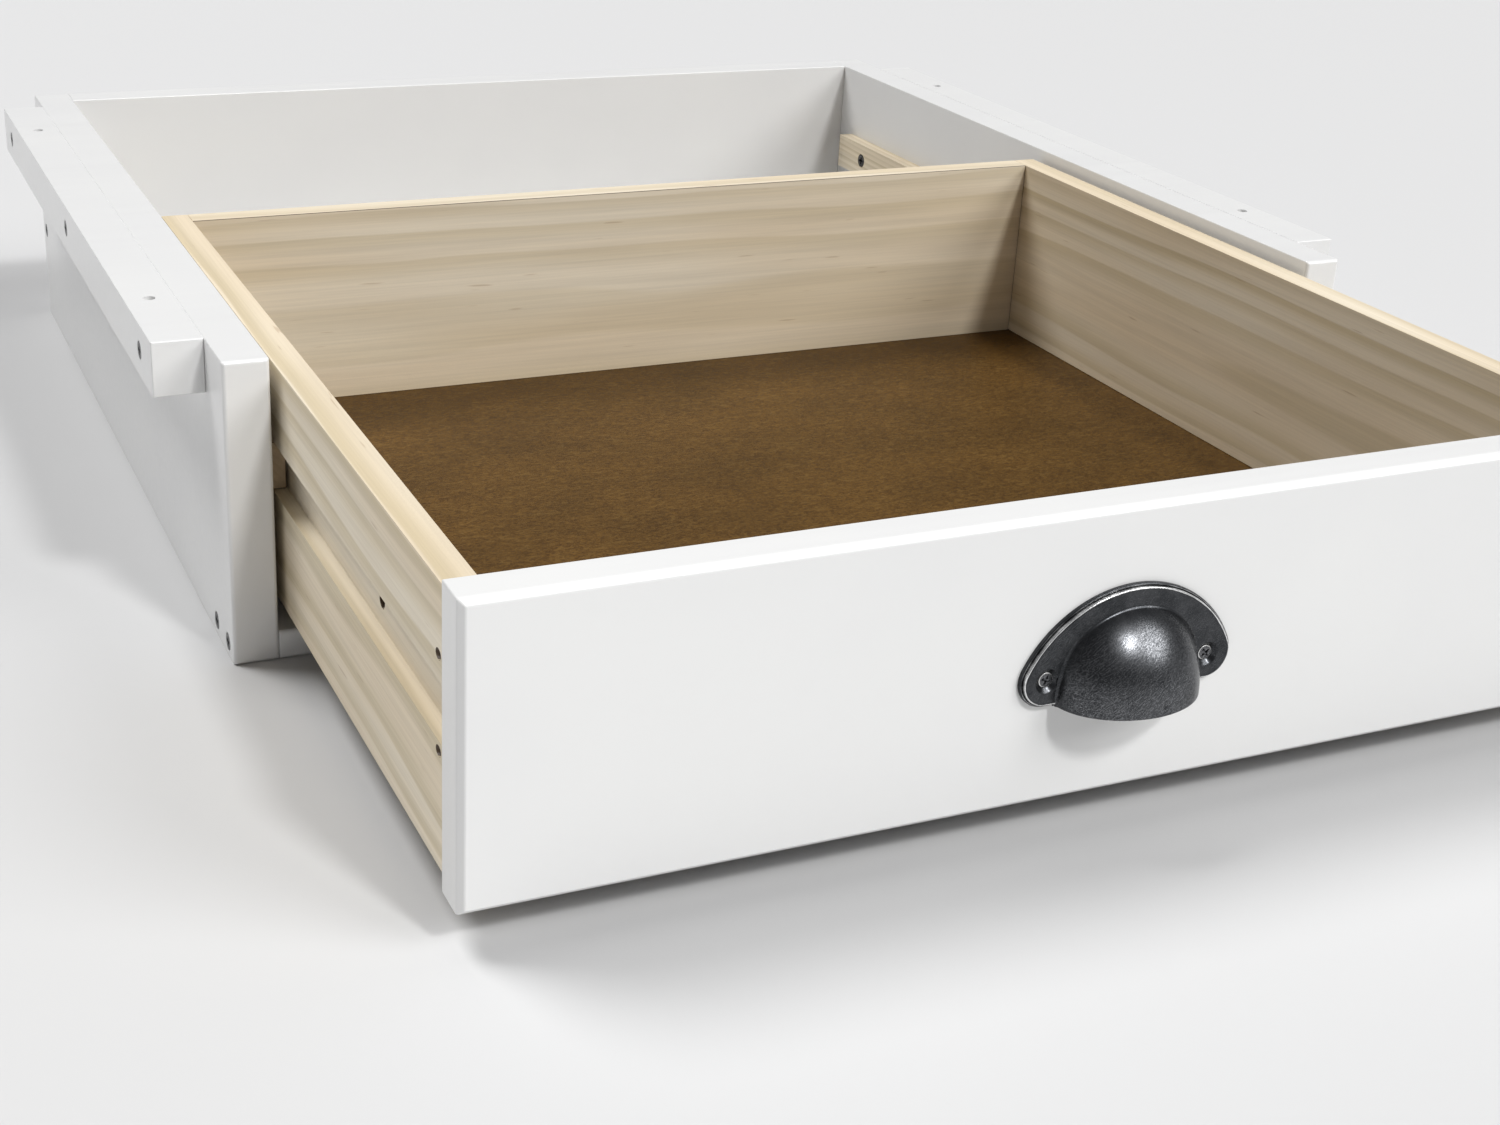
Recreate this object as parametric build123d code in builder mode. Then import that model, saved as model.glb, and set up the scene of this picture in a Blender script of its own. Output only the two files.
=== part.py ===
"""Under desk drawer: a wooden drawer with a cup pull, hung on two side runners in a bay frame.

Millimetres. X is the width, left to right seen from the front, Y runs from front to back, and Z is up.
The origin is the middle of the four desk screw holes, on the top plane that meets the desk's underside.
The drawer is modelled part open. It slides along Y on the two runners, which lie in grooves in its sides.
"""

import os
from math import atan2, cos, pi, sin, sqrt

from build123d import *

# Drawer front
FRONT_WIDTH = 470
FRONT_HEIGHT = 107
FRONT_THICKNESS = 16
FRONT_CHAMFER = 2.2
REVEAL = 2.5  # gap between the front and the opening, all round

# Drawer box
DRAWER_DEPTH = 440  # front face to the rear of the back
BOARD = 12  # thickness of the sides and the back
FRONT_OVERHANG = 1  # front beyond each side
SIDE_ABOVE_FRONT_BOTTOM = 5
SIDE_BELOW_FRONT_TOP = 3
PANEL = 3  # hardboard bottom
PANEL_ABOVE_SIDE_BOTTOM = 4
PANEL_GROOVE_DEPTH = 5
PANEL_PLAY = 0.1
PANEL_EDGE_PLAY = 0.5
RUNNER_GROOVE_HEIGHT = 20.5
RUNNER_GROOVE_DEPTH = 6
RUNNER_GROOVE_ABOVE_FRONT_BOTTOM = 50
GROOVE_HOLE_RADIUS = 3.3
GROOVE_HOLE_DEPTH = 4
GROOVE_HOLE_FROM_FACE = 103

# Bay frame
RAIL = 18  # thickness of the side rails and the back rail
FRAME_DEPTH = 470
FRONT_RAIL_DEPTH = 40
FRONT_RAIL_THICKNESS = 12
BACK_RAIL_HEIGHT = 90
FRAME_ARRIS = 1
RUNNER_LENGTH = 420
RUNNER_END_PLAY = 0.4  # closed front to the runner's end, which is the closing stop
RUNNER_PLAY_Z = 0.4
RUNNER_PLAY_X = 0.8
CLEAT_WIDTH = 20
CLEAT_HEIGHT = 22
CLEAT_LENGTH = 410
DESK_HOLE_RADIUS = 2.5
DESK_HOLE_SINK_RADIUS = 5
DESK_HOLE_SPACING_Y = 300

# Slide: how far the modelled drawer stands open
OPEN_AT_REST = 215

# Cup pull
PULL_SCREW_SPACING = 64
PULL_SCREW_ABOVE_FRONT_BOTTOM = 48.5
FLANGE_LOBE_RADIUS = 10
FLANGE_TOP = 30.5  # above the screws
FLANGE_BASE = 1.5
FLANGE_TIER = 1.3
FLANGE_TIER_INSET = 0.9
DOME_HALF_WIDTH = 28
DOME_RISE = 34  # lip to the top of the dome's base
DOME_PROJECTION = 21
DOME_WALL = 2
DOME_CORNER = 0.62  # share of the projection that the plan runs straight out from each corner
DOME_SHOULDER = 0.5  # share of the half width that the plan is flat across

# Fixings
FIT = 0.1  # radial play of a screw or dowel in its hole
DOWEL_RADIUS = 3
DOWEL_END_CHAMFER = 0.6
DOWEL_IN_FRONT = 11
DOWEL_IN_SIDE = 14
DOWEL_BELOW_SIDE_TOP = 12
DOWEL_ABOVE_SIDE_BOTTOM = 20
RAIL_DOWEL_LENGTH = 28
RAIL_DOWEL_OFFSET = 1  # towards the rail's end from the joint
BACK_RAIL_DOWEL_INSET = 34  # from the back rail's top and bottom
SCREW_RADIUS = 1.5
SCREW_HEAD_RADIUS = 3.5
SCREW_HEAD_RIM = 0.4
TOE_HEAD_RADIUS = 1.8
TOE_HEAD_RIM = 1.2
TOE_SINK = 4.5  # head below the side's face, along the screw
TOE_ENTRY = 6.2  # behind the front's back face
TOE_LENGTH = 22
TOE_ABOVE_GROOVE = 9
TOE_BELOW_GROOVE = 3.5
BACK_SCREW_LENGTH = 35
BACK_SCREW_BELOW_TOP = 16
BACK_SCREW_ABOVE_BOTTOM = 24
PULL_SCREW_LENGTH = 13.7
PULL_HEAD_RADIUS = 2.7
PULL_HEAD_RIM = 0.25
PULL_SINK = 1.3  # head below the flange's face
RUNNER_SCREW_LENGTH = 20
RUNNER_SCREW_STATIONS = (30, 210, 390)  # from the runner's front end
RAIL_SCREW_LENGTH = 45
FRONT_RAIL_SCREW_OFFSET = 10  # either side of the front rail's middle
BACK_RAIL_SCREW_INSET = 16  # from the back rail's top and bottom
CLEAT_SCREW_LENGTH = 30
CLEAT_SCREW_STATIONS = (-180, 0, 180)
NAIL_RADIUS = 0.8
NAIL_HEAD_RADIUS = 2
NAIL_HEAD = 0.6
NAIL_LENGTH = 20
NAIL_STATIONS = (-180, -60, 60, 180)

# Levels and places worked out from the sizes above
front_top = -REVEAL
front_bottom = front_top - FRONT_HEIGHT
side_top = front_top - SIDE_BELOW_FRONT_TOP
side_bottom = front_bottom + SIDE_ABOVE_FRONT_BOTTOM
side_height = side_top - side_bottom
panel_bottom = side_bottom + PANEL_ABOVE_SIDE_BOTTOM
panel_top = panel_bottom + PANEL
groove_bottom = front_bottom + RUNNER_GROOVE_ABOVE_FRONT_BOTTOM
groove_top = groove_bottom + RUNNER_GROOVE_HEIGHT
groove_middle = (groove_bottom + groove_top) / 2
front_rail_top = front_bottom - REVEAL
frame_bottom = front_rail_top - FRONT_RAIL_THICKNESS

half_opening = FRONT_WIDTH / 2 + REVEAL
rail_outer = half_opening + RAIL
cleat_outer = rail_outer + CLEAT_WIDTH
side_outer = FRONT_WIDTH / 2 - FRONT_OVERHANG
side_inner = side_outer - BOARD
groove_floor = side_outer - RUNNER_GROOVE_DEPTH
runner_inner = groove_floor + RUNNER_PLAY_X
panel_half_width = side_inner + PANEL_GROOVE_DEPTH - PANEL_EDGE_PLAY

frame_front = -FRAME_DEPTH / 2
frame_back = FRAME_DEPTH / 2
face_y = frame_front - OPEN_AT_REST  # the drawer's front face
joint_y = face_y + FRONT_THICKNESS  # where the sides meet the front
drawer_back_y = face_y + DRAWER_DEPTH
runner_front = frame_front + FRONT_THICKNESS + RUNNER_END_PLAY

dowel_levels = [side_top - DOWEL_BELOW_SIDE_TOP, side_bottom + DOWEL_ABOVE_SIDE_BOTTOM]
toe_levels = [groove_top + TOE_ABOVE_GROOVE, groove_bottom - TOE_BELOW_GROOVE]
back_screw_levels = [side_top - BACK_SCREW_BELOW_TOP, side_bottom + BACK_SCREW_ABOVE_BOTTOM]
side_middle = (side_outer + side_inner) / 2
back_middle_y = drawer_back_y - BOARD / 2
back_rail_y = frame_back - RAIL / 2
front_rail_z = front_rail_top - FRONT_RAIL_THICKNESS / 2
front_rail_y = frame_front + FRONT_RAIL_DEPTH / 2
pull_screw_z = front_bottom + PULL_SCREW_ABOVE_FRONT_BOTTOM
flange_face = face_y - FLANGE_BASE - FLANGE_TIER

dowel_hole = DOWEL_RADIUS + FIT
screw_hole = SCREW_RADIUS + FIT
toe_bore = TOE_HEAD_RADIUS + FIT
sink_radius = SCREW_HEAD_RADIUS + SCREW_HEAD_RIM + FIT
pull_sink_radius = PULL_HEAD_RADIUS + PULL_HEAD_RIM + PULL_SINK + FIT

SIDES = {"left": -1, "right": 1}
FROM_FRONT_UP = (Align.CENTER, Align.MIN, Align.MIN)
ABOVE = (Align.CENTER, Align.CENTER, Align.MIN)
BELOW = (Align.CENTER, Align.CENTER, Align.MAX)


def pointing(places, outward):
    """Planes at the places, with their normals along outward."""
    return [Plane(origin=place, z_dir=outward) for place in places]


def screw(length, radius=SCREW_RADIUS, head_radius=SCREW_HEAD_RADIUS, rim=SCREW_HEAD_RIM):
    """A countersunk screw with a cross recess: its head's face at the origin, its point down -Z."""
    neck = -rim - (head_radius - radius)
    tip = 2 * radius
    recess_arm = head_radius * 0.6
    recess_slot = head_radius * 0.2
    with BuildPart() as one:
        with BuildSketch(Plane.XZ):
            with BuildLine():
                Polyline(
                    (0, 0), (head_radius, 0), (head_radius, -rim), (radius, neck),
                    (radius, tip - length), (0, -length), close=True,
                )
            make_face()
        revolve(axis=Axis.Z)
        with BuildSketch():
            Rectangle(2 * recess_arm, 2 * recess_slot)
            Rectangle(2 * recess_slot, 2 * recess_arm)
        extrude(amount=-head_radius * 0.5, taper=12, mode=Mode.SUBTRACT)
    return one.part


def dowel(length):
    """A fluteless dowel along Z, centred on the origin, with chamfered ends."""
    with BuildPart() as one:
        Cylinder(DOWEL_RADIUS, length)
        chamfer(one.edges().filter_by(GeomType.CIRCLE), DOWEL_END_CHAMFER)
    return one.part


def nail():
    """A flat-headed nail: the outside of its head at the origin, its point down -Z."""
    with BuildPart() as one:
        with BuildSketch(Plane.XZ):
            with BuildLine():
                Polyline(
                    (0, 0), (NAIL_HEAD_RADIUS, 0), (NAIL_HEAD_RADIUS, -NAIL_HEAD), (NAIL_RADIUS, -NAIL_HEAD),
                    (NAIL_RADIUS, 2 * NAIL_RADIUS - NAIL_LENGTH), (0, -NAIL_LENGTH), close=True,
                )
            make_face()
        revolve(axis=Axis.Z)
    return one.part


def group(piece, planes):
    """Copies of one fixing at each plane, as separate solids of one node."""
    with BuildPart() as several:
        with Locations(*planes):
            add(piece)
    return several.part


def save(part, name):
    """Labels a finished piece and writes it."""
    part.label = name
    export_step(part, f"parts/{name}.step")


os.makedirs("parts", exist_ok=True)


# ---------------------------------------------------------------- places of the fixings

def toe_planes(side):
    """Where the toe screws start: on the side's outer face, slanting 45 degrees forwards and inwards."""
    entry = [(side * side_outer, joint_y + TOE_ENTRY, z) for z in toe_levels]
    return pointing(entry, (side, 1, 0))


def sunk(planes, depth):
    """The same planes, moved down their normals by depth."""
    return [plane.offset(-depth) for plane in planes]


def front_dowel_planes(side):
    """The dowels that locate a side on the front, in the side's thickness."""
    middle_y = joint_y + (DOWEL_IN_SIDE - DOWEL_IN_FRONT) / 2
    return pointing([(side * side_middle, middle_y, z) for z in dowel_levels], (0, 1, 0))


def back_screw_planes(side):
    """The screws through a side into the end of the back."""
    return pointing([(side * side_outer, back_middle_y, z) for z in back_screw_levels], (side, 0, 0))


def runner_screw_planes(side):
    """The screws that hold a runner on its side rail, heads towards the drawer."""
    places = [(side * runner_inner, runner_front + y, groove_middle) for y in RUNNER_SCREW_STATIONS]
    return pointing(places, (-side, 0, 0))


def back_rail_levels(inset):
    """The two levels at an inset from the back rail's top and bottom."""
    return [-inset, inset - BACK_RAIL_HEIGHT]


def rail_screw_planes(side):
    """The screws through a side rail into the ends of the front rail and the back rail."""
    offset = FRONT_RAIL_SCREW_OFFSET
    front = [(side * rail_outer, front_rail_y + dy, front_rail_z) for dy in (-offset, offset)]
    back = [(side * rail_outer, back_rail_y, z) for z in back_rail_levels(BACK_RAIL_SCREW_INSET)]
    return pointing(front + back, (side, 0, 0))


def rail_dowel_planes(side):
    """The dowels between a side rail and the ends of the front rail and the back rail."""
    middle = half_opening - RAIL_DOWEL_OFFSET
    places = [(side * middle, front_rail_y, front_rail_z)]
    places += [(side * middle, back_rail_y, z) for z in back_rail_levels(BACK_RAIL_DOWEL_INSET)]
    return pointing(places, (1, 0, 0))


def cleat_screw_planes(side):
    """The screws through a cleat into its side rail."""
    places = [(side * cleat_outer, y, -CLEAT_HEIGHT / 2) for y in CLEAT_SCREW_STATIONS]
    return pointing(places, (side, 0, 0))


def desk_hole_planes(side):
    """The holes up through a cleat for the screws into the desk, entered from below."""
    x = side * (rail_outer + CLEAT_WIDTH / 2)
    return pointing([(x, y * DESK_HOLE_SPACING_Y / 2, -CLEAT_HEIGHT) for y in (-1, 1)], (0, 0, -1))


def pull_screw_plane(side):
    """Where the pull's screw on one side goes in, on the flange's face."""
    return pointing([(side * PULL_SCREW_SPACING / 2, flange_face, pull_screw_z)], (0, -1, 0))


def nail_planes():
    """The nails up through the bottom into the back, heads against the bottom's underside."""
    return pointing([(x, back_middle_y, panel_bottom - NAIL_HEAD) for x in NAIL_STATIONS], (0, 0, -1))


def sunk_holes(planes, length, radius=sink_radius):
    """Countersunk holes for screws of a length, at planes on the outer faces, in the part being built."""
    with Locations(*planes):
        CounterSinkHole(screw_hole, radius, depth=length + 1, counter_sink_angle=90)


def dowel_holes(planes, length):
    """Round holes for dowels of a length, centred on the planes, in the part being built."""
    with Locations(*planes):
        Cylinder(dowel_hole, length + 1, mode=Mode.SUBTRACT)


def toe_bores(side):
    """The toe screws' bores and pilot holes, slanting through a side into the front."""
    with Locations(*sunk(toe_planes(side), TOE_SINK + TOE_HEAD_RIM + TOE_HEAD_RADIUS - SCREW_RADIUS)):
        Cylinder(toe_bore, TOE_LENGTH, align=ABOVE, mode=Mode.SUBTRACT)
        Cylinder(screw_hole, TOE_LENGTH, align=BELOW, mode=Mode.SUBTRACT)


# ---------------------------------------------------------------- drawer box

with BuildPart() as drawer_front:
    with Locations((0, face_y, front_bottom)):
        Box(FRONT_WIDTH, FRONT_THICKNESS, FRONT_HEIGHT, align=FROM_FRONT_UP)
    chamfer(drawer_front.faces().sort_by(Axis.Y)[0].edges(), FRONT_CHAMFER)
    with Locations((0, joint_y - PANEL_GROOVE_DEPTH, panel_bottom - PANEL_PLAY)):
        Box(
            2 * (panel_half_width + PANEL_EDGE_PLAY), PANEL_GROOVE_DEPTH, PANEL + 2 * PANEL_PLAY,
            align=FROM_FRONT_UP, mode=Mode.SUBTRACT,
        )
    for side in SIDES.values():
        dowel_holes(front_dowel_planes(side), DOWEL_IN_FRONT + DOWEL_IN_SIDE)
        toe_bores(side)
        with Locations(*pull_screw_plane(side)):
            Cylinder(screw_hole, 2 * (PULL_SINK + PULL_SCREW_LENGTH) + 1, mode=Mode.SUBTRACT)
save(drawer_front.part, "drawer_front")

side_length = DRAWER_DEPTH - FRONT_THICKNESS
for name, side in SIDES.items():
    with BuildPart() as drawer_side:
        with Locations((side * side_middle, joint_y, side_bottom)):
            Box(BOARD, side_length, side_height, align=FROM_FRONT_UP)
        with Locations((side * (side_outer - RUNNER_GROOVE_DEPTH / 2), joint_y, groove_bottom)):
            Box(
                RUNNER_GROOVE_DEPTH, side_length, RUNNER_GROOVE_HEIGHT,
                align=FROM_FRONT_UP, mode=Mode.SUBTRACT,
            )
        with Locations((side * (side_inner + PANEL_GROOVE_DEPTH / 2), joint_y, panel_bottom - PANEL_PLAY)):
            Box(
                PANEL_GROOVE_DEPTH, side_length, PANEL + 2 * PANEL_PLAY,
                align=FROM_FRONT_UP, mode=Mode.SUBTRACT,
            )
        hole = (side * groove_floor, face_y + GROOVE_HOLE_FROM_FACE, groove_middle)
        with Locations(*pointing([hole], (side, 0, 0))):
            Cylinder(GROOVE_HOLE_RADIUS, GROOVE_HOLE_DEPTH, align=BELOW, mode=Mode.SUBTRACT)
        dowel_holes(front_dowel_planes(side), DOWEL_IN_FRONT + DOWEL_IN_SIDE)
        toe_bores(side)
        sunk_holes(back_screw_planes(side), BACK_SCREW_LENGTH)
    save(drawer_side.part, f"drawer_side_{name}")
    save(group(dowel(DOWEL_IN_FRONT + DOWEL_IN_SIDE), front_dowel_planes(side)), f"front_dowels_{name}")
    toe_screw = screw(TOE_LENGTH, head_radius=TOE_HEAD_RADIUS, rim=TOE_HEAD_RIM)
    save(group(toe_screw, sunk(toe_planes(side), TOE_SINK)), f"front_screws_{name}")
    save(group(screw(BACK_SCREW_LENGTH), back_screw_planes(side)), f"back_screws_{name}")

with BuildPart() as drawer_back:
    with Locations((0, drawer_back_y - BOARD, panel_top)):
        Box(2 * side_inner, BOARD, side_top - panel_top, align=FROM_FRONT_UP)
    for side in SIDES.values():
        sunk_holes(back_screw_planes(side), BACK_SCREW_LENGTH)
    with Locations(*nail_planes()):
        Cylinder(NAIL_RADIUS + FIT, NAIL_LENGTH + 1, align=BELOW, mode=Mode.SUBTRACT)
save(drawer_back.part, "drawer_back")

panel_front = joint_y - PANEL_GROOVE_DEPTH + PANEL_EDGE_PLAY
with BuildPart() as drawer_bottom:
    with Locations((0, panel_front, panel_bottom)):
        Box(2 * panel_half_width, drawer_back_y - panel_front, PANEL, align=FROM_FRONT_UP)
    with Locations(*nail_planes()):
        Cylinder(NAIL_RADIUS + FIT, NAIL_LENGTH + 1, align=BELOW, mode=Mode.SUBTRACT)
save(drawer_bottom.part, "drawer_bottom")
save(group(nail(), nail_planes()), "bottom_nails")

# ---------------------------------------------------------------- cup pull

# The flange's arch is one circle that touches the two lobes round the screws from outside.
half_spacing = PULL_SCREW_SPACING / 2
above_lobe = FLANGE_TOP - FLANGE_LOBE_RADIUS
arch_centre = (above_lobe**2 - half_spacing**2) / (2 * above_lobe)
arch_radius = FLANGE_TOP - arch_centre
touch_angle = atan2(-arch_centre, half_spacing)


def flange_outline(plane, inset):
    """The flange's face on a plane, its edge moved in by inset. The screws are on the plane's X axis."""
    lobe = FLANGE_LOBE_RADIUS - inset
    arch = arch_radius - inset
    touch = (arch * cos(touch_angle), arch_centre + arch * sin(touch_angle))
    round_angle = (touch_angle - pi / 2) / 2
    lobe_side = (half_spacing + lobe * cos(round_angle), lobe * sin(round_angle))
    with BuildSketch(plane) as outline:
        with BuildLine():
            ThreePointArc((-touch[0], touch[1]), (0, arch_centre + arch), touch)
            ThreePointArc(touch, lobe_side, (half_spacing, -lobe))
            Line((half_spacing, -lobe), (-half_spacing, -lobe))
            ThreePointArc((-half_spacing, -lobe), (-lobe_side[0], lobe_side[1]), (-touch[0], touch[1]))
        make_face()
    return outline.sketch


# The dome is turned about a line along X, behind the front's face, at the level of its lip.
dome_radius = (DOME_RISE**2 / DOME_PROJECTION + DOME_PROJECTION) / 2
dome_axis = dome_radius - DOME_PROJECTION
lip_z = pull_screw_z - FLANGE_LOBE_RADIUS


def dome_plan(inset):
    """The dome's outline at its lip, its wall moved in by inset."""
    half_width = DOME_HALF_WIDTH - inset
    out = DOME_PROJECTION - inset
    corner = (-half_width, -DOME_CORNER * out)
    shoulder = (-DOME_SHOULDER * half_width, -out)
    with BuildSketch(Plane(origin=(0, face_y, lip_z))) as plan:
        with BuildLine():
            Bezier((-half_width, 0), corner, shoulder, (0, -out))
            Bezier((0, -out), (-shoulder[0], -out), (half_width, corner[1]), (half_width, 0))
            Polyline((half_width, 0), (half_width, dome_axis), (-half_width, dome_axis), (-half_width, 0))
        make_face()
    return plan.sketch


flange_plane = Plane(origin=(0, face_y, pull_screw_z), x_dir=(1, 0, 0), z_dir=(0, -1, 0))
dome_turn = Axis((0, face_y + dome_axis, lip_z), (-1, 0, 0))
with BuildPart() as cup_pull:
    revolve(dome_plan(0), axis=dome_turn, revolution_arc=90)
    split(bisect_by=flange_plane)
    extrude(flange_outline(flange_plane, 0), amount=FLANGE_BASE)
    extrude(flange_outline(flange_plane.offset(FLANGE_BASE), FLANGE_TIER_INSET), amount=FLANGE_TIER)
    revolve(dome_plan(DOME_WALL), axis=dome_turn, revolution_arc=90, mode=Mode.SUBTRACT)
    for side in SIDES.values():
        sunk_holes(pull_screw_plane(side), PULL_SINK + PULL_SCREW_LENGTH, pull_sink_radius)
save(cup_pull.part, "cup_pull")
for name, side in SIDES.items():
    pull_screw = screw(PULL_SCREW_LENGTH, head_radius=PULL_HEAD_RADIUS, rim=PULL_HEAD_RIM)
    save(group(pull_screw, sunk(pull_screw_plane(side), PULL_SINK)), f"pull_screw_{name}")

# ---------------------------------------------------------------- bay frame

for name, side in SIDES.items():
    with BuildPart() as side_rail:
        with Locations((side * (half_opening + RAIL / 2), frame_front, frame_bottom)):
            Box(RAIL, FRAME_DEPTH, -frame_bottom, align=FROM_FRONT_UP)
        chamfer(side_rail.faces().sort_by(Axis.Y)[0].edges(), FRAME_ARRIS)
        sunk_holes(rail_screw_planes(side), RAIL_SCREW_LENGTH)
        dowel_holes(rail_dowel_planes(side), RAIL_DOWEL_LENGTH)
        sunk_holes(runner_screw_planes(side), RUNNER_SCREW_LENGTH)
        with Locations(*cleat_screw_planes(side)):
            Cylinder(screw_hole, CLEAT_SCREW_LENGTH + 1, align=BELOW, mode=Mode.SUBTRACT)
    save(side_rail.part, f"side_rail_{name}")

    with BuildPart() as runner:
        runner_middle = (runner_inner + half_opening) / 2
        with Locations((side * runner_middle, runner_front, groove_bottom + RUNNER_PLAY_Z)):
            Box(
                half_opening - runner_inner, RUNNER_LENGTH, RUNNER_GROOVE_HEIGHT - 2 * RUNNER_PLAY_Z,
                align=FROM_FRONT_UP,
            )
        sunk_holes(runner_screw_planes(side), RUNNER_SCREW_LENGTH)
    save(runner.part, f"runner_{name}")

    with BuildPart() as cleat:
        with Locations((side * (rail_outer + CLEAT_WIDTH / 2), -CLEAT_LENGTH / 2, -CLEAT_HEIGHT)):
            Box(CLEAT_WIDTH, CLEAT_LENGTH, CLEAT_HEIGHT, align=FROM_FRONT_UP)
        sunk_holes(cleat_screw_planes(side), CLEAT_SCREW_LENGTH)
        with Locations(*desk_hole_planes(side)):
            CounterSinkHole(
                DESK_HOLE_RADIUS, DESK_HOLE_SINK_RADIUS, depth=CLEAT_HEIGHT, counter_sink_angle=90
            )
    save(cleat.part, f"desk_cleat_{name}")

    save(group(screw(RUNNER_SCREW_LENGTH), runner_screw_planes(side)), f"runner_screws_{name}")
    save(group(screw(RAIL_SCREW_LENGTH), rail_screw_planes(side)), f"rail_screws_{name}")
    save(group(dowel(RAIL_DOWEL_LENGTH), rail_dowel_planes(side)), f"rail_dowels_{name}")
    save(group(screw(CLEAT_SCREW_LENGTH), cleat_screw_planes(side)), f"cleat_screws_{name}")

with BuildPart() as front_rail:
    with Locations((0, frame_front, frame_bottom)):
        Box(2 * half_opening, FRONT_RAIL_DEPTH, FRONT_RAIL_THICKNESS, align=FROM_FRONT_UP)
    long_edges = front_rail.faces().sort_by(Axis.Y)[0].edges().filter_by(Axis.X)
    chamfer(long_edges, FRAME_ARRIS)
    for side in SIDES.values():
        sunk_holes(rail_screw_planes(side), RAIL_SCREW_LENGTH)
        dowel_holes(rail_dowel_planes(side), RAIL_DOWEL_LENGTH)
save(front_rail.part, "front_rail")

with BuildPart() as back_rail:
    with Locations((0, frame_back - RAIL, -BACK_RAIL_HEIGHT)):
        Box(2 * half_opening, RAIL, BACK_RAIL_HEIGHT, align=FROM_FRONT_UP)
    for side in SIDES.values():
        sunk_holes(rail_screw_planes(side), RAIL_SCREW_LENGTH)
        dowel_holes(rail_dowel_planes(side), RAIL_DOWEL_LENGTH)
save(back_rail.part, "back_rail")
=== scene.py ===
"""Looks for the under desk drawer: soft arrises, woods, paint, hardboard, a cast cup pull and its screws.

Metres, in the frame's own axes: X to the right, Y from front to back, Z up.
"""

from math import acos, asin, atan2, cos, floor, pi, radians, sin, sqrt

import bmesh
import bpy
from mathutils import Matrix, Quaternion, Vector


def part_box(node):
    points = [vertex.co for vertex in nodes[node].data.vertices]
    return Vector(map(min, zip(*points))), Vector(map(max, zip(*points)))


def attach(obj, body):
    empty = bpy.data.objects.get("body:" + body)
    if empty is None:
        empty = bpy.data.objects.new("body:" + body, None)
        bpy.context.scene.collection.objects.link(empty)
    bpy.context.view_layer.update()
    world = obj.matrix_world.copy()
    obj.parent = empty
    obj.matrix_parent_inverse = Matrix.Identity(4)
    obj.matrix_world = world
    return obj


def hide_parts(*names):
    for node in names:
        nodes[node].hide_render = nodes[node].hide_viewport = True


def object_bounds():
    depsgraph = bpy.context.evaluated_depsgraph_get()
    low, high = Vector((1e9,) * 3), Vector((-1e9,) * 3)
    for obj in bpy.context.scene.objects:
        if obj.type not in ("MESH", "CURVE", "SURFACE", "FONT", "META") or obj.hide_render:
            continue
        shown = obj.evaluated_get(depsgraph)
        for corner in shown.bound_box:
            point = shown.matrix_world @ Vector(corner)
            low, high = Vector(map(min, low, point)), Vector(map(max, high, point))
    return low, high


MM = 0.001

# Camera
CAMERA_FROM_FRONT = Vector((-0.4065, -0.5243, 0.3149))  # from the middle of the drawer's face
CAMERA_AZIMUTH = radians(-24.41)
CAMERA_ELEVATION = radians(23.06)
CAMERA_ROLL = radians(2.6)
CAMERA_LENS = 51.2
CAMERA_SHIFT = (0.05, -0.028)

# Cup pull: what the frame's boxes don't say
DOME_HALF_WIDTH = 28 * MM
DOME_RISE = 34 * MM
DOME_WALL = 2 * MM
DOME_FILLET = 0.8 * MM
DOME_CORNER = 0.62  # share of the projection that the plan runs straight out from each corner
DOME_SHOULDER = 0.5  # share of the half width that the plan is flat across
PULL_FACE = 2.62 * MM  # the flange's face above the drawer front
BEAD_CREST = 1.5 * MM
RIM_CREST = 2.8 * MM
RIM_PROFILE = (  # inset from the flange's outline, height above the drawer front
    (0, 0),
    (0, 0.95 * MM),
    (0.08 * MM, 1.25 * MM),
    (0.28 * MM, 1.44 * MM),
    (0.5 * MM, BEAD_CREST),
    (0.72 * MM, 1.42 * MM),
    (0.86 * MM, 1.22 * MM),
    (0.96 * MM, 1.4 * MM),
    (1.0 * MM, 2.2 * MM),
    (1.08 * MM, 2.56 * MM),
    (1.26 * MM, 2.75 * MM),
    (1.48 * MM, RIM_CREST),
    (1.72 * MM, 2.75 * MM),
    (2.0 * MM, 2.64 * MM),
    (2.4 * MM, PULL_FACE),
)
SINK_RADIUS = 4.35 * MM
SINK_FOOT = 1.7 * MM
LIP_PROFILE = (  # rise above the dome's lip, inset from its outside
    (0, 0.5 * MM),
    (0.08 * MM, 0.22 * MM),
    (0.25 * MM, 0.06 * MM),
    (0.5 * MM, 0),
)
THROAT_PROFILE = (  # the same for the hollow
    (0, DOME_WALL - 0.5 * MM),
    (0.25 * MM, DOME_WALL - 0.1 * MM),
    (0.6 * MM, DOME_WALL),
)
DOME_BACK = 0.3 * MM  # the dome's solid ends this far above the drawer front, inside the flange
THROAT_BACK = -1 * MM  # the hollow's cutter goes on past the flange and past the lip
THROAT_DROP = 2 * MM
SLIVER = 0.001 * MM  # edges shorter than this are left over from cutting and joining
ARCH_POINTS = 121  # fineness of the curves
LOBE_POINTS = 41
BOTTOM_STEPS = 24
PLAN_STEPS = 40
DOME_STEPS = 30
FILLET_STEPS = 7
SINK_POINTS = 65

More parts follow.
